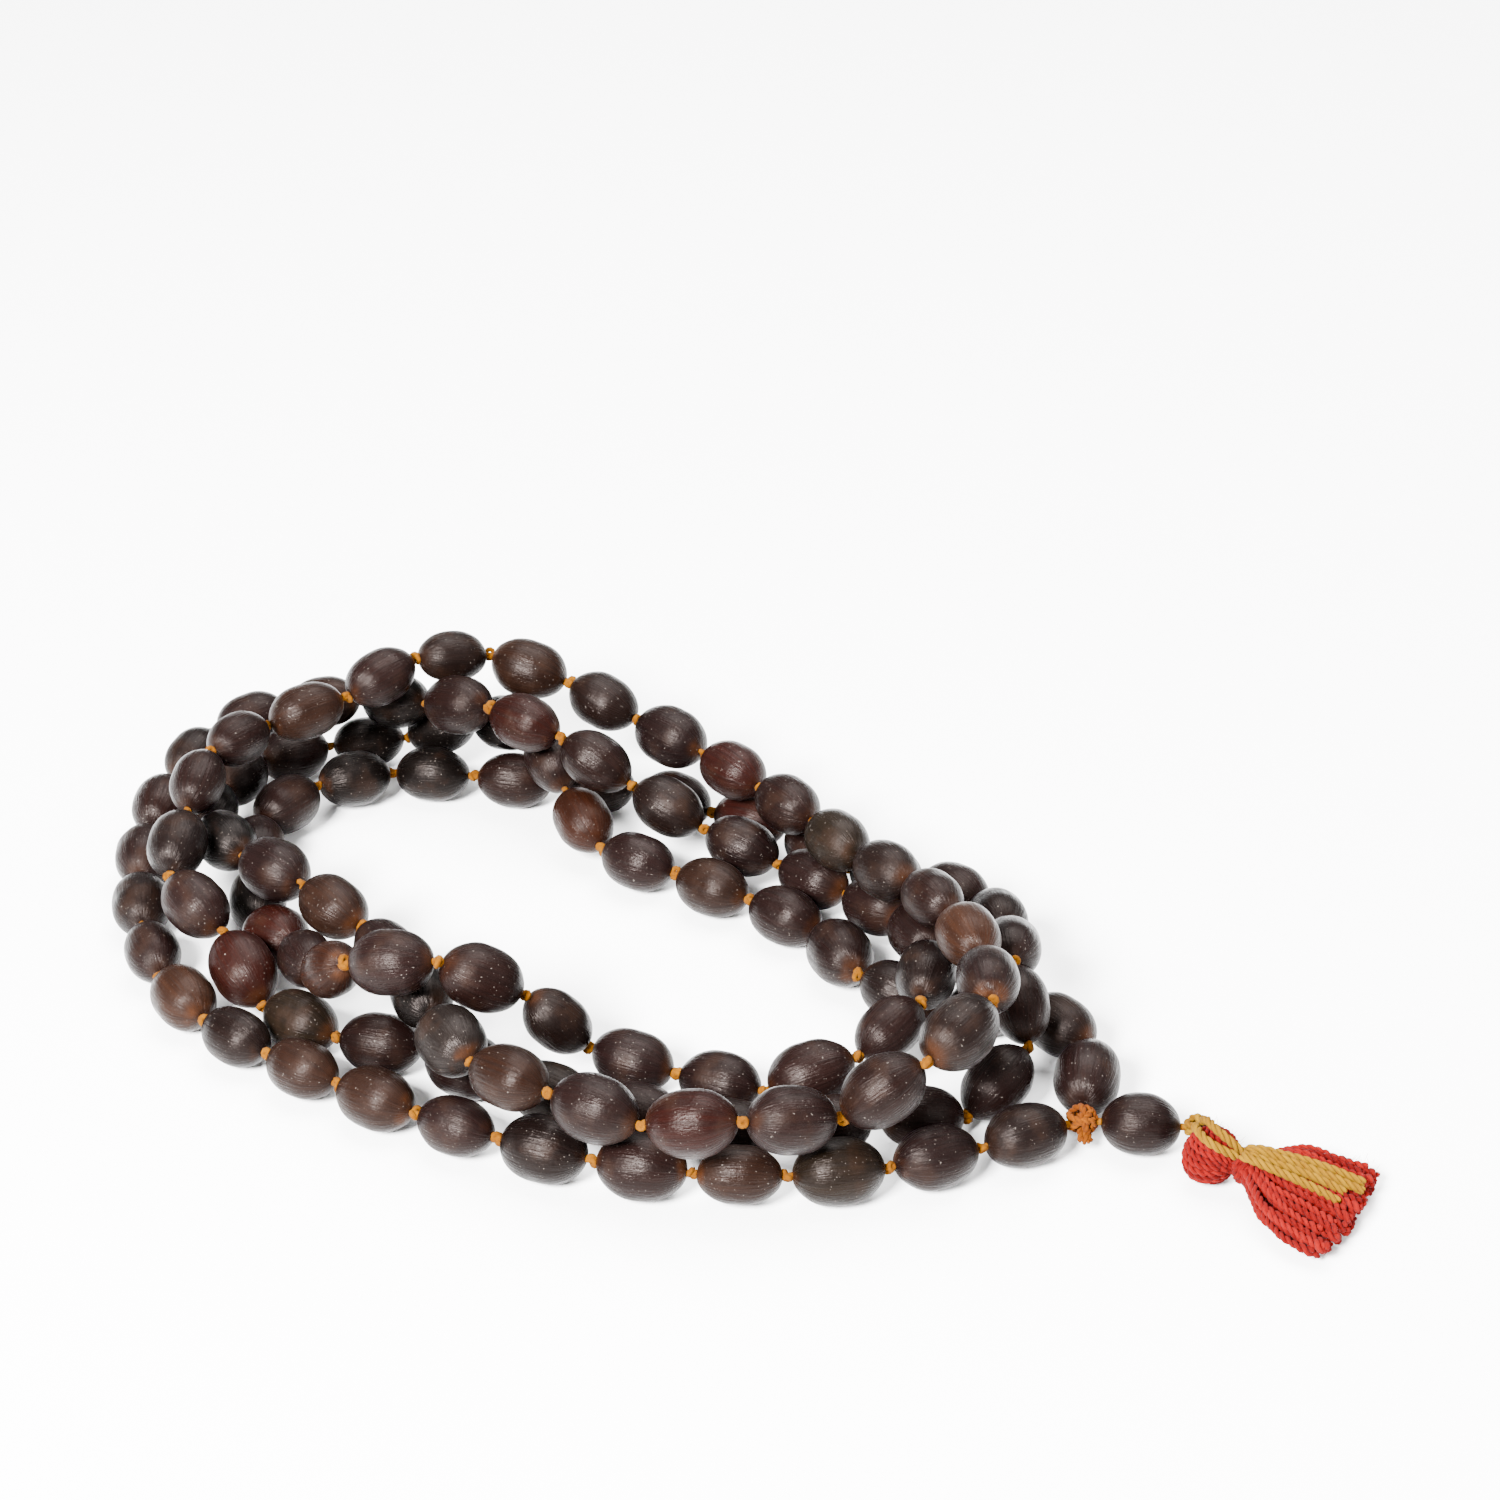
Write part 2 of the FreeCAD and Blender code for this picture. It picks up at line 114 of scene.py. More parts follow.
def standing_on(middle: Vector, axis: Vector, turn: float) -> Matrix:
    """Return the place of a shape made about Z at the origin.

    Args:
        middle: where its middle goes.
        axis: where its Z axis points.
        turn: how far it is turned about that axis, in radians.

    Returns:
        The matrix that puts it there.
    """
    lean = axis.to_track_quat("Z", "Y").to_matrix().to_4x4()
    return Matrix.Translation(middle) @ lean @ Matrix.Rotation(turn, 4, "Z")


# -------------------------------------------------------------------------------------------- finishes

class NodeBoard:
    """The nodes of one material, with its shader ready to be fed."""

    def __init__(self, name: str) -> None:
        """Make an empty material with one shader."""
        self.material = bpy.data.materials.new(name)
        self.material.use_nodes = True
        self.tree = self.material.node_tree
        self.shader = self.tree.nodes["Principled BSDF"]

    def add(self, kind: str, **inputs: object) -> bpy.types.Node:
        """Add a node and fill its inputs.

        Args:
            kind: the node's type, without its prefix.
            inputs: values, or other nodes' outputs, by input name with underscores for spaces.

        Returns:
            The node.
        """
        node = self.tree.nodes.new("ShaderNode" + kind)
        for label, value in inputs.items():
            self.feed(node.inputs[label.replace("_", " ")], value)
        return node

    def feed(self, socket: bpy.types.NodeSocket, value: object) -> None:
        """Link an output to a socket, or set the socket's own value."""
        if isinstance(value, bpy.types.NodeSocket):
            self.tree.links.new(value, socket)
        else:
            socket.default_value = value

    def attribute(self, name: str) -> bpy.types.Node:
        """Read one of the piece's own attributes."""
        node = self.tree.nodes.new("ShaderNodeAttribute")
        node.attribute_name = name
        return node

    def place(self) -> bpy.types.NodeSocket:
        """Read the piece's object coordinates."""
        return self.tree.nodes.new("ShaderNodeTexCoord").outputs["Object"]

    def stretched(self, vector: bpy.types.NodeSocket, scale: Point) -> bpy.types.NodeSocket:
        """Scale a pattern's coordinates by its own amount on each axis."""
        return self.add("Mapping", Vector=vector, Scale=scale).outputs["Vector"]

    def noise(self, vector: bpy.types.NodeSocket, scale: float, detail: float = 3.0,
              roughness: float = 0.5) -> bpy.types.NodeSocket:
        """Make soft noise of a scale, in cycles for each unit of its coordinates."""
        node = self.add("TexNoise", Vector=vector, Scale=scale, Detail=detail, Roughness=roughness)
        return node.outputs["Fac"]

    def ramp(self, value: bpy.types.NodeSocket, low: float, high: float, low_out: float = 0.0,
             high_out: float = 1.0) -> bpy.types.NodeSocket:
        """Map a range of a value smoothly on another range."""
        node = self.add("MapRange", Value=value, From_Min=low, From_Max=high, To_Min=low_out,
                        To_Max=high_out)
        node.interpolation_type = "SMOOTHSTEP"
        return node.outputs["Result"]

    def product(self, first: object, second: object) -> bpy.types.NodeSocket:
        """Multiply two numbers."""
        node = self.tree.nodes.new("ShaderNodeMath")
        node.operation = "MULTIPLY"
        self.feed(node.inputs[0], first)
        self.feed(node.inputs[1], second)
        return node.outputs[0]

    def total(self, first: object, second: object) -> bpy.types.NodeSocket:
        """Add two numbers."""
        node = self.tree.nodes.new("ShaderNodeMath")
        node.operation = "ADD"
        self.feed(node.inputs[0], first)
        self.feed(node.inputs[1], second)
        return node.outputs[0]

    def blend(self, share: object, first: object, second: object,
              way: str = "MIX") -> bpy.types.NodeSocket:
        """Mix two colours.

        Args:
            share: how much of the second colour shows.
            first: the colour below, as an output or as red, green and blue.
            second: the colour above, in the same way.
            way: the blend type.

        Returns:
            The mixed colour.
        """
        node = self.tree.nodes.new("ShaderNodeMix")
        node.data_type = "RGBA"
        node.blend_type = way
        node.clamp_factor = True
        sockets = [item for item in node.inputs if item.type == "RGBA"]
        factor = next(item for item in node.inputs if item.type == "VALUE")
        self.feed(factor, share)
        for socket, value in zip(sockets, (first, second)):
            self.feed(socket, (*value, 1.0) if isinstance(value, tuple) else value)
        return next(item for item in node.outputs if item.type == "RGBA")

    def bump(self, height: bpy.types.NodeSocket, depth: float, strength: float,
             below: bpy.types.NodeSocket | None = None) -> bpy.types.NodeSocket:
        """Turn a height into a normal, over another bump if there is one."""
        node = self.add("Bump", Height=height, Distance=depth, Strength=strength)
        if below is not None:
            self.feed(node.inputs["Normal"], below)
        return node.outputs["Normal"]


@dataclass(frozen=True)
class ShellFinish:
    """Dark seed shell, rubbed satin, with fine streaks from end to end and worn, paler ends."""

    roughness: float = 0.26
    dull_roughness: float = 0.46
    specular: float = 0.056
    gleam_tint: Colour = (1.0, 0.84, 0.78)
    streak_shade: Colour = (0.45, 0.4, 0.4)
    patch_colour: Colour = (0.0115, 0.0052, 0.0029)
    worn_colour: Colour = (0.023, 0.0074, 0.0022)
    dust_colour: Colour = (0.07, 0.060, 0.052)
    streak_scale: Point = (7.0, 7.0, 0.55)
    wrinkle_scale: Point = (16.0, 16.0, 2.6)
    cloud_scale: float = 170.0
    pore_scale: float = 1900.0
    speck_scale: float = 2600.0
    streak_depth: float = 0.20 * MM
    wrinkle_depth: float = 0.13 * MM
    pore_depth: float = 0.07 * MM

    def material(self) -> bpy.types.Material:
        """Build the material, which reads each seed's own colour and grain.

        Returns:
            The material.
        """
        board = NodeBoard("seed_shell")
        shell = board.attribute("shell_colour")
        grain = board.attribute("grain").outputs["Vector"]
        end_share = board.attribute("end_share").outputs["Fac"]
        place = board.place()

        streaks = board.noise(board.stretched(grain, self.streak_scale), 1.0, 4.0, 0.62)
        wrinkles = board.noise(board.stretched(grain, self.wrinkle_scale), 1.0, 3.0, 0.6)
        clouds = board.noise(place, self.cloud_scale, 3.0, 0.55)
        pores = board.noise(place, self.pore_scale, 2.0, 0.5)
        specks = board.noise(place, self.speck_scale, 1.0, 0.4)

        colour = board.blend(board.ramp(streaks, 0.36, 0.64, 0.0, 0.75), shell.outputs["Color"],
                             self.streak_shade, "MULTIPLY")
        lighter = board.blend(0.4, colour, self.patch_colour)
        colour = board.blend(board.ramp(clouds, 0.5, 0.72, 0.0, 0.75), colour, lighter)
        wear = board.product(board.ramp(end_share, 0.74, 0.97), board.ramp(clouds, 0.38, 0.66))
        colour = board.blend(board.product(wear, shell.outputs["Alpha"]), colour, self.worn_colour)
        dust = board.ramp(specks, 0.725, 0.765, 0.0, 0.6)
        colour = board.blend(dust, colour, self.dust_colour)
        board.feed(board.shader.inputs["Base Color"], colour)

        dullness = board.ramp(board.total(board.product(streaks, 0.5), board.product(clouds, 0.5)),
                              0.38, 0.64, self.roughness, self.dull_roughness)
        board.feed(board.shader.inputs["Roughness"], dullness)
        board.shader.inputs["Specular IOR Level"].default_value = self.specular
        board.shader.inputs["Specular Tint"].default_value = (*self.gleam_tint, 1.0)

        normal = board.bump(streaks, self.streak_depth, 0.55)
        normal = board.bump(wrinkles, self.wrinkle_depth, 0.8, normal)
        normal = board.bump(pores, self.pore_depth, 0.7, normal)
        board.feed(board.shader.inputs["Normal"], normal)
        return board.material


@dataclass(frozen=True)
class CottonFinish:
    """Spun cotton, with fibres along each ply and a soft bloom on its outside."""

    name: str
    bright: Colour
    deep: Colour
    sheen: float = 0.012
    roughness: float = 0.86
    specular: float = 0.03
    lint_tint: Colour = (0.06, 0.035, 0.015)
    fibre_scale: Point = (2.2, 2.2, 1.3)
    fluff_scale: float = 4200.0
    fibre_depth: float = 0.16 * MM
    fluff_depth: float = 0.07 * MM

    def material(self, follows_ply: bool = True) -> bpy.types.Material:
        """Build the material.

        Args:
            follows_ply: whether the piece has its plies' fibre attribute.

        Returns:
            The material.
        """
        board = NodeBoard(self.name if follows_ply else self.name + "_plain")
        place = board.place()
        if follows_ply:
            along = board.attribute("fibre").outputs["Vector"]
            fibres = board.noise(board.stretched(along, self.fibre_scale), 1.0, 4.0, 0.65)
            tone = board.attribute("strand_tone").outputs["Fac"]
        else:
            fibres = board.noise(place, 1500.0, 3.0, 0.6)
            tone = board.noise(place, 300.0, 2.0, 0.5)
        fluff = board.noise(place, self.fluff_scale, 2.0, 0.6)
        share = board.total(board.product(fibres, 0.6), board.product(tone, 0.4))
        colour = board.blend(board.ramp(share, 0.22, 0.72), self.deep, self.bright)
        lint = board.blend(0.3, self.bright, self.lint_tint)
        colour = board.blend(board.ramp(fluff, 0.52, 0.78, 0.0, 0.14), colour, lint)
        board.feed(board.shader.inputs["Base Color"], colour)
        board.shader.inputs["Roughness"].default_value = self.roughness
        board.shader.inputs["Specular IOR Level"].default_value = self.specular
        board.shader.inputs["Sheen Weight"].default_value = self.sheen
        board.shader.inputs["Sheen Roughness"].default_value = 0.5
        normal = board.bump(fibres, self.fibre_depth, 0.7)
        normal = board.bump(fluff, self.fluff_depth, 0.6, normal)
        board.feed(board.shader.inputs["Normal"], normal)
        return board.material


@dataclass(frozen=True)
class TableFinish:
    """Plain pale paper under the object."""

    colour: Colour = (0.95, 0.95, 0.95)
    shaded: Colour = (0.93, 0.93, 0.93)
    cloud_scale: float = 9.0

    def material(self) -> bpy.types.Material:
        """Build the material, a white with the faintest unevenness."""
        board = NodeBoard("pale_paper")
        cloud = board.noise(board.place(), self.cloud_scale, 2.0)
        shade = board.blend(board.ramp(cloud, 0.3, 0.7, 0.0, 0.25), self.colour, self.shaded)
        board.feed(board.shader.inputs["Base Color"], shade)
        board.shader.inputs["Roughness"].default_value = 0.8
        board.shader.inputs["Specular IOR Level"].default_value = 0.2
        return board.material


CORD_ORANGE = CottonFinish("cord_orange", (0.088, 0.032, 0.0001), (0.046, 0.012, 0.0001))
CORD_AGED = CottonFinish("cord_aged", (0.085, 0.022, 0.0002), (0.034, 0.0055, 0.0001))
CORD_YELLOW = CottonFinish("cord_yellow", (0.112, 0.056, 0.0001), (0.052, 0.017, 0.0001))
YARN_RED = CottonFinish("yarn_red", (0.092, 0.0014, 0.0010), (0.036, 0.0002, 0.0003))


class ShellTone(Enum):
    """Base colours that the shells come in; the black one is partly painted shade."""

    DARK = (0.0024, 0.0013, 0.0011)
    PLUM = (0.0034, 0.0015, 0.0013)
    BROWN = (0.0056, 0.0024, 0.0015)
    TAN = (0.0092, 0.0037, 0.0020)
    RED = (0.0058, 0.0013, 0.0009)
    COPPER = (0.0076, 0.0022, 0.0010)
    OLIVE = (0.0033, 0.0021, 0.0013)
    # Black: partly the seeds' own dark colour, partly painted shade for seeds that lie under or behind other
    # seeds.
    BLACK = (0.0010, 0.0007, 0.0006)
    GREY = (0.0046, 0.0036, 0.0033)


TONES_BY_SEED = {
    ShellTone.BROWN: {4, 8, 9, 18, 68, 71, 86, 90, 102},
    ShellTone.TAN: {11, 79},
    ShellTone.RED: {21, 38, 47, 63, 74, 84},
    ShellTone.COPPER: {36, 100},
    ShellTone.OLIVE: {3, 59, 62, 76},
    # These seeds lie under or behind other seeds: their black tone is partly painted shade.
    ShellTone.BLACK: {19, 39, 42, 43, 88, 92, 93, 96, 97, 98},
    ShellTone.GREY: {87},
    ShellTone.DARK: {1, 6, 10, 13, 16, 23, 28, 33, 45, 51, 57, 65, 70, 72, 77, 81, 94, 105, 107},
}
WORN_SEEDS = {4, 8, 11, 21, 36, 59, 68, 79, 80, 87, 100}
TURNING_SEEDS = (*range(1, 15), *range(64, 90))
GROUPED_SEEDS = {
    "back_pass": range(15, 31),
    "inner_pass": range(31, 48),
    "lower_pass": range(48, 64),
    "closing_pass": range(90, 109),
}


def tone_of(number: int) -> ShellTone:
    """Return the tone of a seed, plum where none is named for it."""
    for tone, numbers in TONES_BY_SEED.items():
        if number in numbers:
            return tone
    return ShellTone.PLUM


# ----------------------------------------------------------------------------------------- the frame read

@dataclass(frozen=True)
class Place:
    """Where a solid of revolution lies in the frame."""

    middle: Vector
    axis: Vector
    length: float
    diameter: float


def solids_in(node: str) -> list[np.ndarray]:
    """Return the triangles of each separate solid of a node.

    Args:
        node: the CAD node's name.

    Returns:
        One array of triangles, by corner and coordinate, for each solid in the node's own order.
    """
    weld = 1e-6
    mesh = bmesh.new()
    mesh.from_mesh(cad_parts[node].data)
    mesh.faces.ensure_lookup_table()
    order = {face: index for index, face in enumerate(mesh.faces)}
    bmesh.ops.remove_doubles(mesh, verts=mesh.verts, dist=weld)
    found = []
    seen = set()
    for face in sorted(mesh.faces, key=lambda item: order.get(item, 0)):
        if face in seen:
            continue
        seen.add(face)
        waiting = [face]
        solid = []
        while waiting:
            current = waiting.pop()
            solid.append([tuple(vertex.co) for vertex in current.verts[:3]])
            for edge in current.edges:
                for neighbour in edge.link_faces:
                    if neighbour not in seen:
                        seen.add(neighbour)
                        waiting.append(neighbour)
        found.append(np.array(solid))
    mesh.free()
    return found


def place_of(triangles: np.ndarray, bore: float = 0.0) -> Place:
    """Find the axis and size of a solid of revolution from its surface.

    Args:
        triangles: the solid's triangles.
        bore: the diameter of the hole along its axis, which cuts its ends short.

    Returns:
        Its place.
    """
    first, second, third = triangles[:, 0], triangles[:, 1], triangles[:, 2]
    areas = np.linalg.norm(np.cross(second - first, third - first), axis=1) / 2
    centres = triangles.mean(axis=1)
    middle = (centres * areas[:, None]).sum(axis=0) / areas.sum()
    apart = centres - middle
    spread = (apart * areas[:, None]).T @ apart
    axis = np.linalg.eigh(spread)[1][:, 2]
    axis = axis if axis[0] >= 0 else -axis
    corners = triangles.reshape(-1, 3) - middle
    along = corners @ axis
    across = np.linalg.norm(corners - np.outer(along, axis), axis=1)
    diameter = 2 * across.max()
    length = (along.max() - along.min()) / math.sqrt(1 - (bore / diameter) ** 2)
    return Place(Vector(middle), Vector(axis), length, diameter)


# ------------------------------------------------------------------------------------------------ seeds

@dataclass
class SeedShells:
    """All the seeds: a few shapes modelled once, and a copy of one of them on each packed seed."""

    length: float = 13.7 * MM
    diameter: float = 9.9 * MM
    bore: float = 1.7 * MM
    mouth: float = 2.5 * MM
    rim_drop: float = 0.35 * MM
    bore_depth: float = 1.6 * MM
    fullness: float = 0.035
    lump_depth: float = 0.34 * MM
    lump_size: float = 5.5 * MM
    lump_level: float = 0.62
    lump_spacing: float = 31 * MM
    segments: int = 28
    rings: int = 18
    shapes: int = 5
    luck: random.Random = field(default_factory=lambda: random.Random(108))

    def shape(self, index: int) -> bpy.types.Mesh:
        """Model one seed about Z at the origin: a full oval with a sunk mouth at each end of its bore.

        Args:
            index: which of the shapes, which sets its lumps.

        Returns:
            The mesh.
        """
        clear_selection()
        bpy.ops.mesh.primitive_uv_sphere_add(segments=self.segments, ring_count=self.rings,
                                             radius=self.diameter / 2)
        seed = bpy.context.active_object
        bpy.ops.object.mode_set(mode="EDIT")
        bpy.ops.mesh.select_all(action="SELECT")
        bpy.ops.transform.resize(value=(1, 1, self.length / self.diameter), center_override=(0, 0, 0))
        for side in (-1, 1):
            self.open_end(seed, side)
        bpy.ops.object.mode_set(mode="OBJECT")
        self.fill_out(seed)
        self.add_lumps(seed, index)
        mesh = seed.data
        mesh.name = f"seed_shape_{index}"
        bpy.data.objects.remove(seed)
        return mesh

    def open_end(self, seed: bpy.types.Object, side: int) -> None:
        """Sink the mouth of the bore in one end, in edit mode.

        Args:
            seed: the seed that is being edited.
            side: 1 for its top end and -1 for its lower one.
        """
        last_ring = self.length / 2 * math.cos(math.pi / self.rings * 0.7)
        select_end_faces(seed, side * last_ring)
        widths = (self.mouth, self.bore, self.bore * 0.94)
        drops = (0.1 * MM, self.rim_drop, self.bore_depth)
        ring = self.diameter * math.sin(math.pi / self.rings)
        for width, drop in zip(widths, drops):
            bpy.ops.mesh.extrude_region_move(TRANSFORM_OT_translate={"value": (0, 0, -side * drop)})
            share = width / ring
            middle = (0, 0, side * self.length / 2)
            bpy.ops.transform.resize(value=(share, share, 1), center_override=middle)
            ring = width

    def fill_out(self, seed: bpy.types.Object) -> None:
        """Fill the shoulders out, where the shell is rounder than an oval."""
        half = self.length / 2
        for vertex in seed.data.vertices:
            share = min(1.0, abs(vertex.co.z) / half)
            swell = 1 + self.fullness * math.sin(math.pi * share) * (1 - share * 0.3)
            vertex.co.x *= swell
            vertex.co.y *= swell

    def add_lumps(self, seed: bpy.types.Object, index: int) -> None:
        """Round the shell off and give it the slight lumps of a real seed."""
        make_active(seed)
        smooth = seed.modifiers.new("round", "SUBSURF")
        smooth.levels = 1
        smooth.render_levels = 1
        bpy.ops.object.modifier_apply(modifier=smooth.name)
        seed.data.transform(Matrix.Translation((index * self.lump_spacing, 0, 0)))
        pattern = bpy.data.textures.new(f"lumps_{index}", "CLOUDS")
        pattern.noise_scale = self.lump_size
        pattern.noise_depth = 1
        lumps = seed.modifiers.new("lumps", "DISPLACE")
        lumps.texture = pattern
        lumps.texture_coords = "LOCAL"
        lumps.strength = self.lump_depth
        lumps.mid_level = self.lump_level
        bpy.ops.object.modifier_apply(modifier=lumps.name)
        seed.data.transform(Matrix.Translation((-index * self.lump_spacing, 0, 0)))
        bpy.ops.object.shade_smooth()

    def dress(self, mesh: bpy.types.Mesh, numbers: list[int]) -> None:
        """Give each copy in a mesh its seed's colour, wear and grain.

        Args:
            mesh: copies of a shape, one after another, still upright at the origin.
            numbers: the seeds' numbers along the strand, in the same order.
        """
        count = len(mesh.vertices)
        each = count // len(numbers)
        places = np.zeros(count * 3)
        mesh.vertices.foreach_get("co", places)
        places = places.reshape(-1, 3)
        around = np.arctan2(places[:, 1], places[:, 0])
        share = places[:, 2] / (self.length / 2)
        grain = np.stack([np.cos(around), np.sin(around), share], axis=1)
        colours = np.ones((count, 4))
        for index, number in enumerate(numbers):
            part = slice(index * each, (index + 1) * each)
            grain[part] += [self.luck.uniform(0, 60) for axis in range(3)]
            light = self.luck.uniform(0.82, 1.22)
            warmth = self.luck.uniform(-0.06, 0.08)
            red, green, blue = tone_of(number).value
            wear = 1.0 if number in WORN_SEEDS else self.luck.uniform(0.1, 0.65)
            colours[part] = (red * light * (1 + warmth), green * light, blue * light * (1 - warmth), wear)
        mesh.attributes.new("grain", "FLOAT_VECTOR", "POINT").data.foreach_set("vector", grain.ravel())
        mesh.attributes.new("shell_colour", "FLOAT_COLOR", "POINT").data.foreach_set(
            "color", colours.ravel())
        mesh.attributes.new("end_share", "FLOAT", "POINT").data.foreach_set("value", np.abs(share))

    def strung(self, name: str, node: str, body: str, numbers: list[int]) -> bpy.types.Object:
        """Put a copy of a shape on each seed of a node.

        Args:
            name: the piece's name.
            node: the CAD node that it stands for.
            body: the body that it rides on.
            numbers: the numbers of the node's seeds, in the node's order.

        Returns:
            The piece.
        """
        pattern = self.patterns[numbers[0] % self.shapes]
        piece = joined_copies(name, pattern, [Matrix.Identity(4)] * len(numbers))
        self.dress(piece.data, numbers)
        each = len(pattern.vertices)
        points = np.zeros(len(piece.data.vertices) * 3)
        piece.data.vertices.foreach_get("co", points)
        points = points.reshape(-1, 3)
        for index, triangles in enumerate(solids_in(node)):
            place = place_of(triangles, self.bore)
            width = place.diameter / self.diameter
            fit = Matrix.Diagonal((width, width, place.length / self.length, 1))
            lay = np.array(standing_on(place.middle, place.axis, self.luck.uniform(0, math.tau)) @ fit)
            part = slice(index * each, (index + 1) * each)
            points[part] = points[part] @ lay[:3, :3].T + lay[:3, 3]
        piece.data.vertices.foreach_set("co", points.ravel())
        piece.data.update()
        piece.data.materials.append(self.finish)
        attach(piece, body)
        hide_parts(node)
        return piece

    def build(self) -> list[bpy.types.Object]:
        """Model the shapes and string a copy on every packed seed.

        Returns:
            The pieces.
        """
        self.finish = ShellFinish().material()
        self.patterns = [self.shape(index) for index in range(self.shapes)]
        pieces = []
        for number in TURNING_SEEDS:
            node = f"seed_{number:03d}"
            pieces.append(self.strung(f"shell_{number:03d}", node, node, [number]))
        for name, numbers in GROUPED_SEEDS.items():
            pieces.append(self.strung(f"shells_{name}", f"seeds_{name}", "coil", list(numbers)))
        pieces.append(self.strung("guru_shell", "guru_seed", "guru", [0]))
        return pieces


# ------------------------------------------------------------------------------------------ cords and yarn

@dataclass(frozen=True)
class Twist:
    """How a cord is laid up from its plies, in metres."""

    plies: int
    ply_radius: float
    offset: float
    pitch: float
    sides: int = 6
    step: float = 0.32 * MM


YELLOW_CORD = Twist(plies=3, ply_radius=0.35 * MM, offset=0.40 * MM, pitch=4.2 * MM)
RED_YARN = Twist(plies=2, ply_radius=0.33 * MM, offset=0.3 * MM, pitch=2.5 * MM, sides=5)
FINE_CORD = Twist(plies=2, ply_radius=0.34 * MM, offset=0.26 * MM, pitch=2.0 * MM)
HAIR = Twist(plies=1, ply_radius=0.022 * MM, offset=0.0, pitch=1.0, sides=3)


def route_points(points: list[Point], step: float) -> np.ndarray:
    """Read even points from the smooth line that given points control.

    Args:
        points: the line's control points.
        step: the space between the points returned, about.

    Returns:
        The points along the line.
    """
    curve = bpy.data.curves.new("route", "CURVE")
    curve.dimensions = "3D"
    spline = curve.splines.new("NURBS")
    spline.points.add(len(points) - 1)
    for control, point in zip(spline.points, points):
        control.co = (*point, 1.0)
    spline.order_u = 3
    spline.use_endpoint_u = True
    spline.resolution_u = 12
    holder = bpy.data.objects.new("route", curve)
    line = bpy.data.meshes.new_from_object(holder)
    found = np.array([tuple(vertex.co) for vertex in line.vertices])
    bpy.data.objects.remove(holder)
    bpy.data.meshes.remove(line)
    bpy.data.curves.remove(curve)
    lengths = np.concatenate([[0], np.cumsum(np.linalg.norm(np.diff(found, axis=0), axis=1))])
    stations = np.linspace(0, lengths[-1], max(4, int(lengths[-1] / step) + 1))
    return np.stack([np.interp(stations, lengths, found[:, axis]) for axis in range(3)], axis=1)


def cross_directions(line: np.ndarray) -> tuple[np.ndarray, np.ndarray]:
    """Return two directions across a line at each of its points, without any twist."""
    ahead = np.gradient(line, axis=0)
    ahead /= np.linalg.norm(ahead, axis=1)[:, None]
    across = np.zeros_like(ahead)
    side = np.array([0.0, 0.0, 1.0]) if abs(ahead[0][2]) < 0.9 else np.array([1.0, 0.0, 0.0])
    for index, direction in enumerate(ahead):
        side = side - direction * (side @ direction)
        side = side / np.linalg.norm(side)
        across[index] = side
    return across, np.cross(ahead, across)


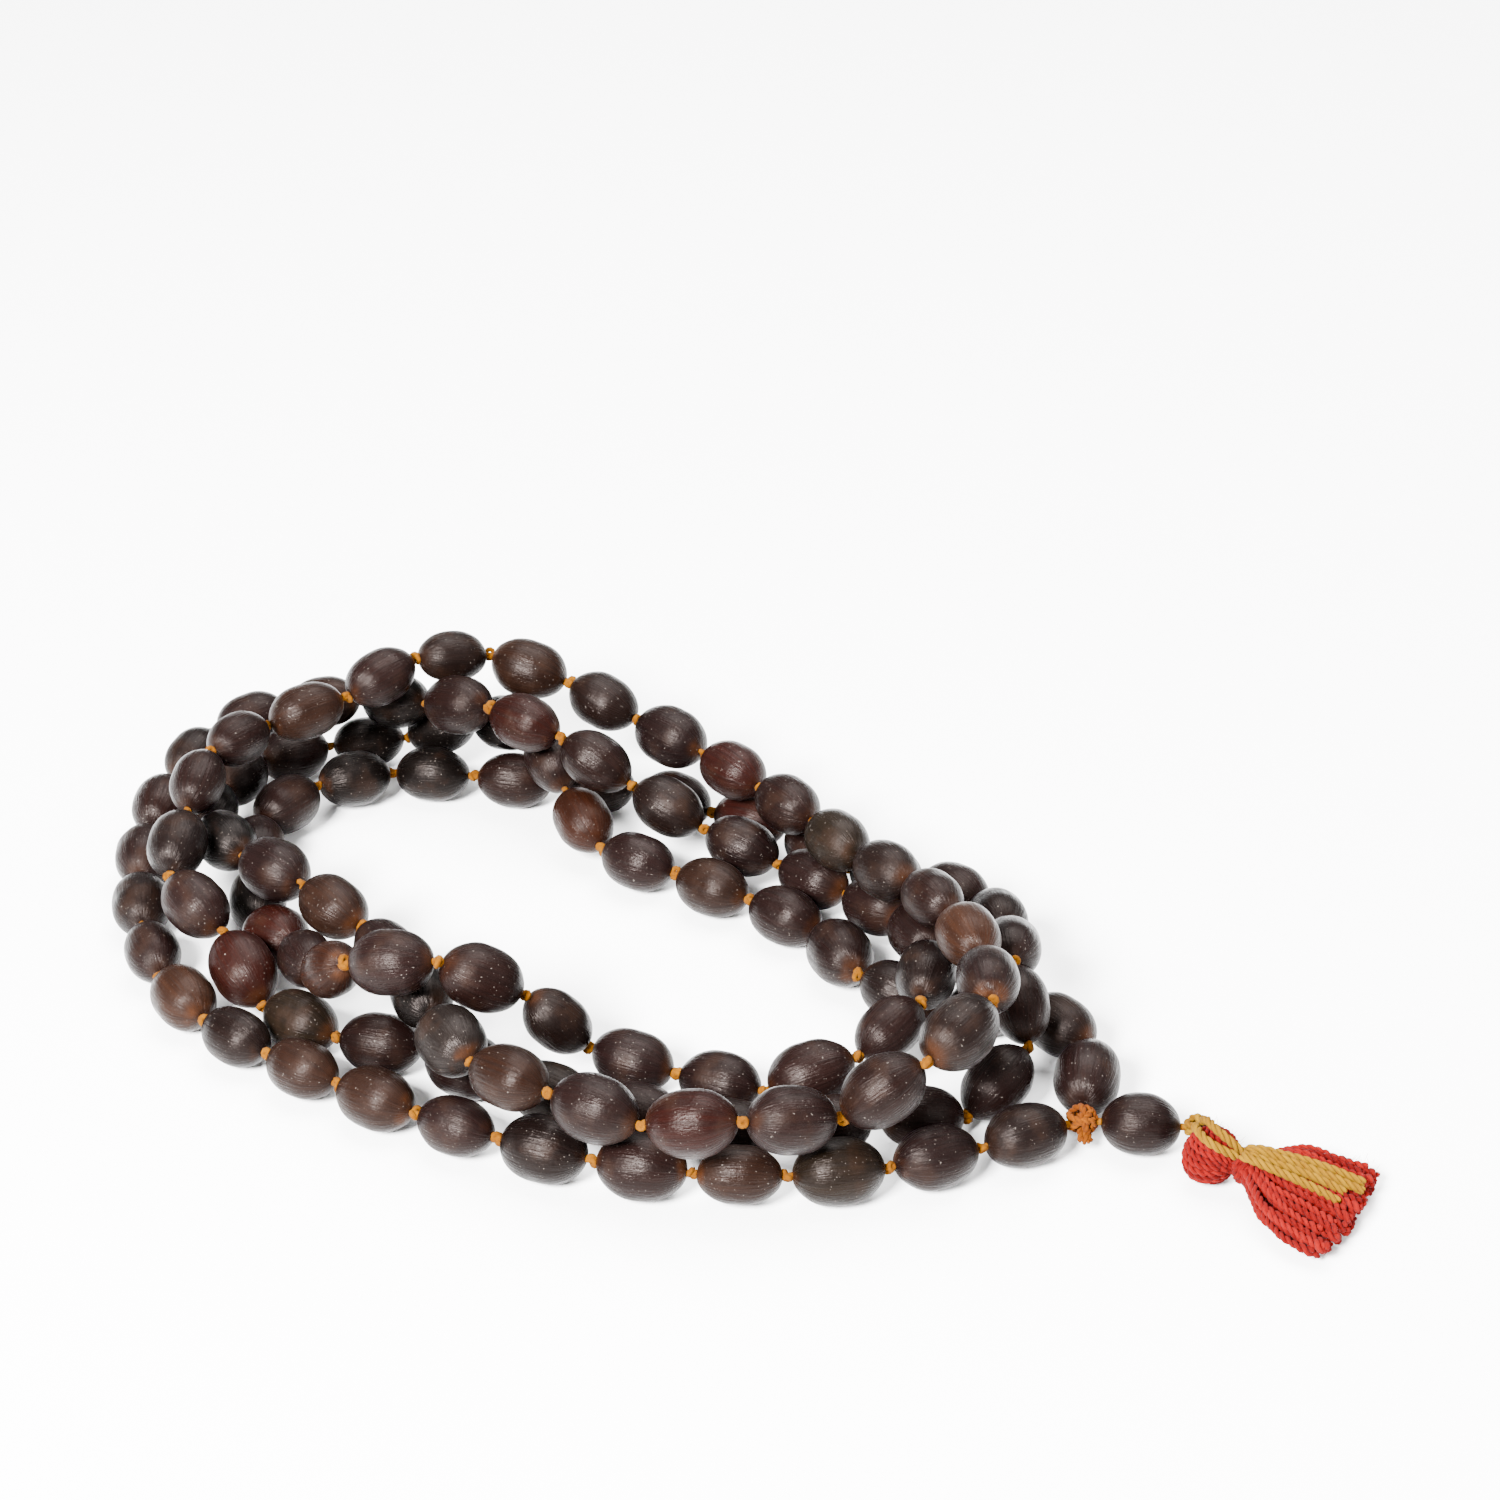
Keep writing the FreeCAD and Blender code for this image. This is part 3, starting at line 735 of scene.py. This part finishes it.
class TubeWork:
    """Gathers the plies of many strands in one mesh, with the direction of their fibres."""

    def __init__(self, name: str, luck: random.Random) -> None:
        """Start an empty mesh."""
        self.name = name
        self.luck = luck
        self.points: list[np.ndarray] = []
        self.fibres: list[np.ndarray] = []
        self.tones: list[np.ndarray] = []
        self.faces: list[tuple[int, ...]] = []
        self.count = 0

    def ply(self, line: np.ndarray, radius: float, sides: int, tone: float, ragged: bool) -> None:
        """Add one ply as a closed tube.

        Args:
            line: the points along its middle.
            radius: its radius.
            sides: how many sides it has.
            tone: its place between the deep and the bright colour.
            ragged: whether its far end swells and frays.
        """
        across, upward = cross_directions(line)
        rings = len(line)
        share = np.linspace(0, 1, rings)
        girth = np.full(rings, radius)
        if ragged:
            girth = radius * (1 + 0.5 * np.clip((share - 0.86) / 0.14, 0, 1))
        girth[0] *= 0.6
        girth[-1] *= 0.55
        angles = np.arange(sides) * math.tau / sides
        ring = (across[:, None] * np.cos(angles)[None, :, None]
                + upward[:, None] * np.sin(angles)[None, :, None])
        points = line[:, None] + ring * girth[:, None, None]
        along = np.concatenate([[0], np.cumsum(np.linalg.norm(np.diff(line, axis=0), axis=1))]) / MM
        fibre = np.zeros((rings, sides, 3))
        fibre[:, :, 0] = np.cos(angles)[None]
        fibre[:, :, 1] = np.sin(angles)[None]
        fibre[:, :, 2] = along[:, None]
        fibre += [self.luck.uniform(0, 80) for axis in range(3)]
        base = self.count
        for row in range(rings - 1):
            for side in range(sides):
                here = base + row * sides + side
                beside = base + row * sides + (side + 1) % sides
                self.faces.append((here, beside, beside + sides, here + sides))
        self.faces.append(tuple(base + side for side in reversed(range(sides))))
        self.faces.append(tuple(base + (rings - 1) * sides + side for side in range(sides)))
        self.points.append(points.reshape(-1, 3))
        self.fibres.append(fibre.reshape(-1, 3))
        self.tones.append(np.full(rings * sides, tone))
        self.count += rings * sides

    def strand(self, controls: list[Point], twist: Twist, tone: float = 0.5, ragged: bool = False) -> None:
        """Add a twisted strand along a smooth line.

        Args:
            controls: the line's control points.
            twist: how the strand is laid up.
            tone: its place between the deep and the bright colour.
            ragged: whether its far end frays.
        """
        line = route_points(controls, twist.step)
        across, upward = cross_directions(line)
        run = np.concatenate([[0], np.cumsum(np.linalg.norm(np.diff(line, axis=0), axis=1))])
        start = self.luck.uniform(0, math.tau)
        loosen = np.ones(len(line))
        if ragged:
            loosen = 1 + 0.7 * np.clip((run / run[-1] - 0.82) / 0.18, 0, 1)
        for ply in range(twist.plies):
            turn = start + run / twist.pitch * math.tau + ply * math.tau / twist.plies
            shift = across * np.cos(turn)[:, None] + upward * np.sin(turn)[:, None]
            self.ply(line + shift * (twist.offset * loosen)[:, None], twist.ply_radius, twist.sides,
                     tone + self.luck.uniform(-0.12, 0.12), ragged)

    def finish(self, material: bpy.types.Material, body: str, slot: str) -> bpy.types.Object:
        """Close the mesh, dress it and let it ride.

        Args:
            material: its finish.
            body: the body that it rides on.
            slot: not used.

        Returns:
            The piece.
        """
        mesh = bpy.data.meshes.new(self.name)
        mesh.from_pydata(np.concatenate(self.points).tolist(), [], self.faces)
        fibres = np.concatenate(self.fibres)
        mesh.attributes.new("fibre", "FLOAT_VECTOR", "POINT").data.foreach_set("vector", fibres.ravel())
        tones = np.concatenate(self.tones)
        mesh.attributes.new("strand_tone", "FLOAT", "POINT").data.foreach_set("value", tones)
        mesh.materials.append(material)
        mesh.shade_smooth()
        piece = bpy.data.objects.new(self.name, mesh)
        bpy.context.scene.collection.objects.link(piece)
        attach(piece, body)
        return piece


# ------------------------------------------------------------------------------------------------ knots

@dataclass
class Knots:
    """The knots of the strand, the junction knot and the cord that shows between the seeds."""

    turn_radius: float = 0.52 * MM
    cord_radius: float = 0.44 * MM
    first_tilt: float = 18.0
    first_drop: float = 0.28 * MM
    second_tilt: float = 62.0
    second_shift: Point = (0.1 * MM, 0, 0.42 * MM)
    proud: float = 0.85 * MM
    winding_axes: tuple[Point, ...] = ((0.2, 0.3, 1.0), (1.0, 0.2, 0.3), (0.5, 1.0, -0.2), (-0.6, 0.4, 0.8))
    fray: tuple[tuple[Point, ...], ...] = (
        ((-0.2, -0.8, -0.4), (-0.3, -1.8, -1.2), (-0.2, -2.7, -1.9)),
        ((0.3, -0.9, -0.2), (0.5, -1.8, -1.3), (0.6, -3.0, -2.1)),
        ((0.7, -0.5, -0.3), (1.0, -1.4, -1.4), (1.1, -2.3, -2.2)),
    )
    stub: tuple[tuple[Point, ...], ...] = (((0.0, 0.0, 0.0), (-1.1, 0.1, 0.0), (-2.1, 0.2, 0.0)),)
    luck: random.Random = field(default_factory=lambda: random.Random(11))

    def knot_shape(self) -> bpy.types.Mesh:
        """Model one knot about Z: two turns of the cord that cross.

        Returns:
            The mesh, of a few dozen faces.
        """
        clear_selection()
        bpy.ops.mesh.primitive_torus_add(major_radius=self.turn_radius, minor_radius=self.cord_radius,
                                         major_segments=9, minor_segments=5)
        knot = bpy.context.active_object
        bpy.ops.object.mode_set(mode="EDIT")
        bpy.ops.mesh.select_all(action="SELECT")
        bpy.ops.transform.translate(value=(0, 0, -self.first_drop))
        bpy.ops.transform.rotate(value=math.radians(self.first_tilt), orient_axis="X",
                                 center_override=(0, 0, 0))
        bpy.ops.mesh.duplicate()
        bpy.ops.transform.rotate(value=math.radians(self.second_tilt), orient_axis="Y",
                                 center_override=(0, 0, 0))
        bpy.ops.transform.translate(value=self.second_shift)
        bpy.ops.object.mode_set(mode="OBJECT")
        bpy.ops.object.shade_smooth()
        mesh = knot.data
        bpy.data.objects.remove(knot)
        return mesh

    def spacer_knots(self) -> bpy.types.Object:
        """Tie a knot on each place where the strand has one.

        Returns:
            The piece.
        """
        places = []
        for triangles in solids_in("spacer_knots"):
            corners = triangles.reshape(-1, 3)
            middle = Vector((corners.max(axis=0) + corners.min(axis=0)) / 2)
            lean = Vector([self.luck.uniform(-1, 1) for axis in range(3)])
            size = self.luck.uniform(0.98, 1.22)
            places.append(standing_on(middle, lean, 0.0) @ Matrix.Scale(size, 4))
        piece = joined_copies("tied_knots", self.knot_shape(), places)
        piece.data.materials.append(CORD_ORANGE.material(follows_ply=False))
        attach(piece, "coil")
        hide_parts("spacer_knots")
        return piece

    def wound_knot(self, node: str, body: str, slot: str, finish: CottonFinish, twist: Twist,
                   tails: tuple[tuple[Point, ...], ...]) -> bpy.types.Object:
        """Wind a bigger knot of plied cord on a round CAD knot.

        Args:
            node: the CAD knot.
            body: the body that it rides on.
            slot: the record's material slot.
            finish: its cotton.
            twist: how its cord is laid up.
            tails: frayed ends, as control points from the knot's middle in millimetres.

        Returns:
            The piece.
        """
        low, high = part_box(node)
        middle = (Vector(low) + Vector(high)) / 2
        reach = (high[0] - low[0]) / 2 + self.proud
        work = TubeWork(node + "_wound", self.luck)
        turn_radius = reach - twist.ply_radius - twist.offset
        for axis in self.winding_axes:
            place = standing_on(middle, Vector(axis), self.luck.uniform(0, math.tau))
            turns = [place @ Vector((turn_radius * math.cos(angle), turn_radius * math.sin(angle),
                                     0.12 * MM * angle))
                     for angle in np.linspace(0, math.tau * 1.05, 11)]
            work.strand([tuple(point) for point in turns], twist, self.luck.uniform(0.25, 0.75))
        for tail in tails:
            work.strand([tuple(middle + Vector(point) * MM) for point in tail], twist, 0.4, ragged=True)
        piece = work.finish(finish.material(), body, slot)
        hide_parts(node)
        return piece

    def build(self) -> list[bpy.types.Object]:
        """Tie all the knots and dress the cord.

        Returns:
            The pieces.
        """
        plain = CORD_ORANGE.material(follows_ply=False)
        for node in ("stringing_cord", "guru_cord"):
            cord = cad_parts[node]
            cord.data.materials.clear()
            cord.data.materials.append(plain)
        junction = self.wound_knot("junction_knot", "junction", "cord_orange", CORD_AGED, FINE_CORD,
                                   self.fray)
        tassel_knot = self.wound_knot("tassel_knot", "tassel_knot", "cord_yellow", CORD_YELLOW, FINE_CORD,
                                      self.stub)
        return [self.spacer_knots(), junction, tassel_knot]


# ------------------------------------------------------------------------------------------------ tassel

@dataclass
class Tassel:
    """The red yarn tassel with its yellow cords, laid out along X from the middle of its head, in mm."""

    head_strands: int = 30
    skirt_layers: tuple[tuple[float, int], ...] = ((1.0, 15), (0.45, 14), (-0.2, 14), (-0.85, 13))
    neck_start: float = 4.2
    neck_end: float = 6.9
    neck_radius: float = 1.9
    crown_half_width: float = 8.7
    hem_half_width: float = 11.3
    far_bulge: float = 1.5
    crown_height: float = 3.4
    crown_half_height: float = 2.8
    hem_height: float = 2.4
    hem_half_height: float = 1.75
    hem_reach: float = 24.3
    core_strands: int = 16
    crown_distance: float = 12.2
    belly_distance: float = 17.0
    binding_start: float = 4.9
    binding_length: float = 1.7
    binding_radius: float = 2.45
    binding_turns: int = 3
    steps_a_turn: int = 8
    stray_count: int = 420
    tails: tuple[tuple[float, float], ...] = ((5.3, 22.8), (3.3, 23.4), (1.7, 21.2), (-0.9, 21.2))
    tail_spacing: float = 0.95
    tail_lift: float = 0.4
    loop_apart: Point = (0.47, 0.80, 0.36)
    loop_route: tuple[tuple[float, float, float, float], ...] = (
        (-4.2, 4.4, 0.2, 0.1), (-3.3, 2.9, 1.9, 0.45), (-2.4, 0.7, 5.0, 1.0),
        (0.2, -2.0, 5.5, 1.25), (2.9, -2.0, 4.3, 1.05), (5.1, -0.8, 2.5, 0.5),
    )
    luck: random.Random = field(default_factory=lambda: random.Random(33))

    def __post_init__(self) -> None:
        """Find the tassel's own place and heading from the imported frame."""
        head_low, head_high = (Vector(corner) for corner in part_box("tassel_head"))
        neck_low, neck_high = (Vector(corner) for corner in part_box("tassel_binding"))
        self.middle = (head_low + head_high) / 2
        self.head_radius = (head_high.z - head_low.z) / 2 / MM
        onward = (neck_low + neck_high) / 2 - self.middle
        self.heading = math.atan2(onward.y, onward.x)

    def laid(self, points: list[Point]) -> list[Point]:
        """Turn points along the tassel, in mm from its head's middle, into the frame in metres."""
        turn = Matrix.Rotation(self.heading, 4, "Z")
        return [tuple(self.middle + turn @ (Vector(point) * MM)) for point in points]

    def drop(self, height: float) -> float:
        """Return a height above the table as one from the head's middle."""
        return height - self.middle.z / MM

    def head(self, finish: bpy.types.Material) -> bpy.types.Object:
        """Lay the yarn of the head from its knot round to the neck, over a core.

        Args:
            finish: the red yarn.

        Returns:
            The piece.
        """
        work = TubeWork("head_yarn", self.luck)
        surface = self.head_radius - 0.62
        knot_side = Vector((-0.66, 0.72, 0.2)).normalized()
        neck_side = Vector((1, 0, 0))
        between = knot_side.cross(neck_side).normalized()
        outward = (knot_side + neck_side).normalized()
        for layer, count, radius in ((0, self.head_strands, surface), (1, self.core_strands, surface * 0.78)):
            for index in range(count):
                angle = math.tau * (index + 0.5 * layer) / count
                side = between * math.cos(angle) - outward * math.sin(angle)
                points = []
                for share in (0.0, 0.17, 0.34, 0.5, 0.66, 0.83, 1.0):
                    reach = math.sin(math.pi * share)
                    way = knot_side * (1 - share) ** 1.2 + neck_side * share ** 1.2 + side * reach * 1.35
                    wobble = 1 + self.luck.uniform(-0.025, 0.025)
                    points.append(tuple(way.normalized() * radius * wobble))
                work.strand(self.laid(points), RED_YARN, self.luck.uniform(0.2, 0.9))
        piece = work.finish(finish, "tassel", "yarn_red")
        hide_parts("tassel_head")
        return piece

    def skirt(self, finish: bpy.types.Material) -> bpy.types.Object:
        """Fan the yarn out from the neck to a ragged hem.

        Args:
            finish: the red yarn.

        Returns:
            The piece.
        """
        work = TubeWork("skirt_yarn", self.luck)
        for layer, count in self.skirt_layers:
            for index in range(count):
                side = (index + 0.5 + self.luck.uniform(-0.45, 0.45)) / count * 2 - 1
                rise = layer * math.sqrt(max(0.05, 1 - side * side))
                reach = math.sqrt(self.hem_reach ** 2 - (side * self.hem_half_width * 0.72) ** 2)
                reach -= abs(self.luck.gauss(0.0, 1.5))
                wave = self.luck.uniform(-1.0, 1.0)
                neck_side = side * self.neck_radius
                neck_rise = rise * self.neck_radius
                bulge = self.far_bulge * max(0.0, side)
                crown_side = side * self.crown_half_width + bulge
                crown_rise = self.drop(self.crown_height + rise * self.crown_half_height)
                hem_rise = self.drop(self.hem_height + rise * self.hem_half_height)
                points = [
                    (self.neck_start, neck_side * 0.8, neck_rise * 0.8),
                    (self.neck_end - 0.6, neck_side, neck_rise),
                    (self.neck_end + 2.0, crown_side * 0.6 + wave * 0.3, neck_rise * 0.5 + crown_rise * 0.5),
                    (self.crown_distance, crown_side + wave, crown_rise),
                    (self.belly_distance, side * self.hem_half_width * 0.93 + bulge - wave,
                     (crown_rise + hem_rise) / 2),
                    (reach, side * self.hem_half_width + wave * 0.6,
                     hem_rise + self.luck.uniform(-0.1, 0.3)),
                ]
                work.strand(self.laid(points), RED_YARN, self.luck.uniform(0.1, 0.95), ragged=True)
        piece = work.finish(finish, "tassel", "yarn_red")
        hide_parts("tassel_skirt")
        return piece

    def binding(self, finish: bpy.types.Material) -> bpy.types.Object:
        """Wind red yarn round the neck.

        Args:
            finish: the red yarn.

        Returns:
            The piece.
        """
        work = TubeWork("neck_winding", self.luck)
        steps = self.binding_turns * self.steps_a_turn
        points = []
        for index in range(steps + 1):
            angle = math.tau * index / self.steps_a_turn
            radius = self.binding_radius + 0.12 * math.sin(index * 2.1)
            distance = self.binding_start + self.binding_length * index / steps
            points.append((distance, radius * math.cos(angle), radius * math.sin(angle)))
        work.strand(self.laid(points), RED_YARN, 0.35)
        work.strand(self.laid([(4.8, -1.6, 2.0), (5.6, -0.2, 2.9), (6.8, 1.5, 2.1)]), RED_YARN, 0.6)
        piece = work.finish(finish, "tassel", "yarn_red")
        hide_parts("tassel_binding")
        return piece

    def yellow_cords(self, finish: bpy.types.Material) -> list[bpy.types.Object]:
        """Lay the yellow loop over the head and the four yellow ends down the skirt.

        Args:
            finish: the yellow cotton.

        Returns:
            The pieces.
        """
        loop = TubeWork("yellow_loop", self.luck)
        for side in (-1, 1):
            apart = Vector(self.loop_apart) * side
            route = [tuple(Vector((along, across, up)) + apart * share)
                     for along, across, up, share in self.loop_route]
            loop.strand(self.laid(route), YELLOW_CORD, 0.55)
        loop_piece = loop.finish(finish, "tassel", "cord_yellow")
        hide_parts("head_cords", "tassel_link")

        ends = TubeWork("yellow_ends", self.luck)
        for index, (side, reach) in enumerate(self.tails):
            root = (1.5 - index) * self.tail_spacing - 0.5
            lift = self.tail_lift * (index % 2)
            ends.strand(self.laid([
                (5.4, root * 0.7, 2.8), (7.0, root + side * 0.1, 3.0 + lift),
                (reach * 0.42, root * 0.75 + side * 0.34, self.drop(7.3) + lift),
                (reach * 0.66, root * 0.3 + side * 0.66, self.drop(6.7)),
                (reach * 0.86, side * 0.9, self.drop(5.7)), (reach, side, self.drop(4.9)),
            ]), YELLOW_CORD, 0.6)
        ends_piece = ends.finish(finish, "tassel", "cord_yellow")
        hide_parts("tassel_tails")
        return [loop_piece, ends_piece]

    def stray_fibres(self, finish: bpy.types.Material) -> bpy.types.Object:
        """Let fine fibres stand off the head and the skirt.

        Args:
            finish: the red yarn.

        Returns:
            The piece.
        """
        work = TubeWork("stray_fibres", self.luck)
        for index in range(self.stray_count):
            side = self.luck.uniform(-1, 1)
            distance = self.luck.triangular(-4.0, 24.0, 20.0)
            open_share = min(1.0, max(0.0, (distance - 5.0) / 16.0))
            width = self.neck_radius + open_share * (self.hem_half_width - self.neck_radius)
            if distance < 3.8:
                width = math.sqrt(max(0.2, self.head_radius ** 2 - distance ** 2))
            rise = math.sqrt(1 - side * side)
            height = width * rise if distance < 3.8 else self.drop(4.3 + 2.2 * rise * (1 - open_share * 0.5))
            start = Vector((distance, side * width, height))
            away = Vector([self.luck.uniform(-1, 1), side + self.luck.uniform(-1, 1),
                           self.luck.uniform(0.0, 1.0)]).normalized()
            length = self.luck.uniform(0.5, 1.5)
            bend = Vector([self.luck.uniform(-0.5, 0.5) for axis in range(3)])
            work.strand(self.laid([tuple(start), tuple(start + away * length * 0.5 + bend * 0.4),
                                   tuple(start + away * length + bend)]), HAIR, 0.9)
        return work.finish(finish, "tassel", "yarn_red")

    def build(self) -> list[bpy.types.Object]:
        """Make the whole tassel.

        Returns:
            The pieces.
        """
        red = YARN_RED.material()
        yellow = CORD_YELLOW.material()
        pieces = [self.head(red), self.skirt(red), self.binding(red), self.stray_fibres(red)]
        return pieces + self.yellow_cords(yellow)


# ------------------------------------------------------------------------------------------------ studio

@dataclass(frozen=True)
class Lamp:
    """One soft square lamp that faces the middle of the table, in metres and watts."""

    name: str
    place: Point
    size: float
    power: float


LAMPS = (
    Lamp("key", (-0.42, -0.74, 0.70), 0.32, 160.0),
    Lamp("top", (0.15, 0.35, 1.05), 1.0, 68.0),
    Lamp("fill", (0.8, -0.4, 0.55), 0.6, 6.0),
)


@dataclass
class Studio:
    """A pale floor, soft light and the camera."""

    target: Point = (0.007, 0.073, 0.0)
    distance: float = 0.6297
    elevation: float = 31.27
    lens: float = 82.1
    sensor: float = 36.0
    floor_size: float = 6.0
    room_light: float = 0.9

    def floor(self) -> None:
        """Lay the pale floor under the object."""
        clear_selection()
        bpy.ops.mesh.primitive_plane_add(size=self.floor_size)
        floor = bpy.context.active_object
        floor.name = "table_top"
        floor.data.materials.append(TableFinish().material())

    def hang(self, lamp: Lamp) -> None:
        """Hang one lamp."""
        data = bpy.data.lights.new(lamp.name, "AREA")
        data.size = lamp.size
        data.energy = lamp.power
        holder = bpy.data.objects.new(lamp.name, data)
        holder.location = lamp.place
        holder.rotation_euler = (-Vector(lamp.place)).to_track_quat("-Z", "Y").to_euler()
        bpy.context.scene.collection.objects.link(holder)

    def light(self) -> None:
        """Light the table from a pale room, with a low key in front on the left and a weak fill."""
        world = bpy.data.worlds.new("bright_room")
        world.use_nodes = True
        world.node_tree.nodes["Background"].inputs["Color"].default_value = (1.0, 1.0, 1.0, 1.0)
        world.node_tree.nodes["Background"].inputs["Strength"].default_value = self.room_light
        bpy.context.scene.world = world
        for lamp in LAMPS:
            self.hang(lamp)

    def camera(self) -> None:
        """Stand the camera in front of the object, looking down on it."""
        lean = math.radians(self.elevation)
        target = Vector(self.target)
        back = Vector((0, -math.cos(lean), math.sin(lean)))
        data = bpy.data.cameras.new("camera")
        data.lens = self.lens
        data.sensor_width = self.sensor
        data.clip_start = 0.01
        data.clip_end = 20
        camera = bpy.data.objects.new("camera", data)
        camera.location = target + back * self.distance
        camera.rotation_euler = (-back).to_track_quat("-Z", "Y").to_euler()
        bpy.context.scene.collection.objects.link(camera)
        bpy.context.scene.camera = camera

    def build(self) -> None:
        """Set up the floor, the lights and the camera."""
        self.floor()
        self.light()
        self.camera()


def main() -> None:
    """Build every piece in order and report it."""
    logging.basicConfig(level=logging.INFO, format="%(message)s")
    Studio().build()
    for part in (SeedShells(), Knots(), Tassel()):
        for piece in part.build():
            LOG.info("%s: %d faces", piece.name, len(piece.data.polygons))


if __name__ == "__main__":
    main()
